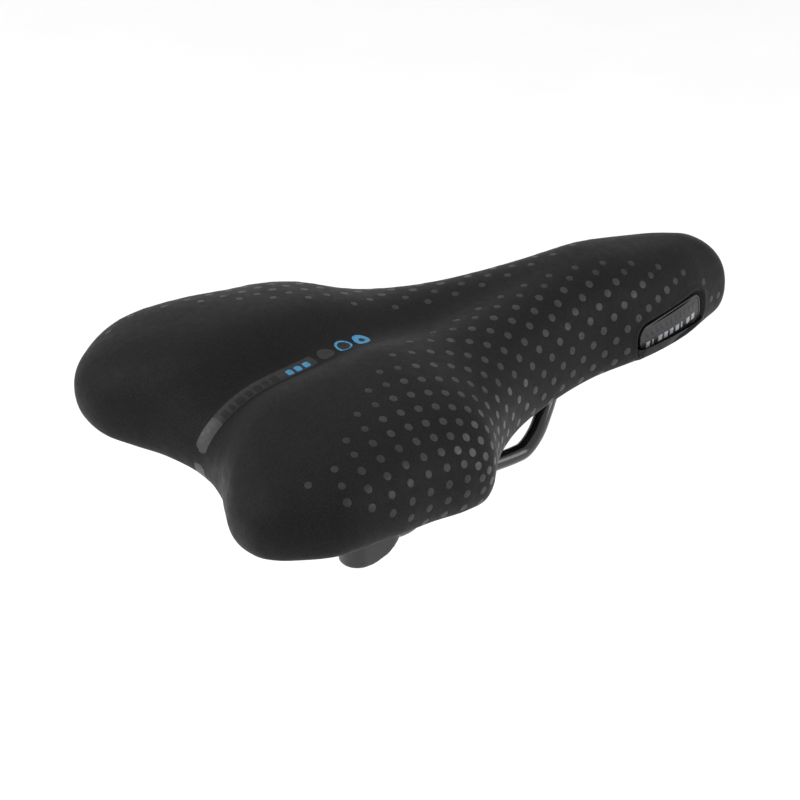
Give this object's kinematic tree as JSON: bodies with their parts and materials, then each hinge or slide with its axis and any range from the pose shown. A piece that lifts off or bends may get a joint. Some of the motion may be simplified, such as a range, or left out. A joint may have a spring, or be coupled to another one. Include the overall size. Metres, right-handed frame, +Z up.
{
  "type": "bicycle saddle",
  "caption": "Padded trekking bicycle saddle with a pressure-relief channel, a black one-piece rail and elastomer springs under the back.",
  "frame": {"origin": "midway between the two rails, at the middle of the straight length where a seat post clamps them", "axes": "+Z up, nose towards -Y, tail towards +Y, +X to the left of a rider who faces the nose"},
  "size_m": [0.1726, 0.2714, 0.0831],
  "materials": {
    "cover": "matt microfibre, black with grey printed dots",
    "foam": "open-cell polyurethane foam",
    "gel": "soft gel",
    "shell": "moulded polypropylene, fine texture",
    "rail": "gloss black over steel",
    "bush": "moulded rubber",
    "carrier": "satin black glass-filled nylon",
    "elastomer": "black elastomer",
    "zinc": "zinc-plated steel",
    "brass": "brass",
    "badge": "dark plate with a bright bevelled rim"
  },
  "bodies": {
    "rail_frame": {"rail_wire": "rail", "nose_bush": "bush", "rear_carrier_left": "carrier", "rear_carrier_right": "carrier", "elastomer_left": "elastomer", "elastomer_right": "elastomer"},
    "seat": {"cover": "cover", "foam_pad": "foam", "gel_pad_left": "gel", "gel_pad_right": "gel", "base_shell": "shell", "badge_left": "badge", "badge_right": "badge", "nose_cap": "shell", "nose_screw_front": "zinc", "nose_screw_rear": "zinc", "nose_insert_front": "brass", "nose_insert_rear": "brass", "bolt_washer_left": "zinc", "bolt_washer_right": "zinc", "elastomer_bolt_left": "zinc", "elastomer_bolt_right": "zinc", "boss_insert_left": "brass", "boss_insert_right": "brass"}
  },
  "joints": [
    {"name": "saddle_rock", "type": "hinge", "parent": "rail_frame", "child": "seat", "pos_m": [0, -0.09, 0.029], "axis": [1, 0, 0], "range_deg": [-1.6, 0], "stiffness_Nm_per_rad": 1500, "springref_deg": 0.29, "deforming": ["elastomer_left", "elastomer_right"]}
  ]
}
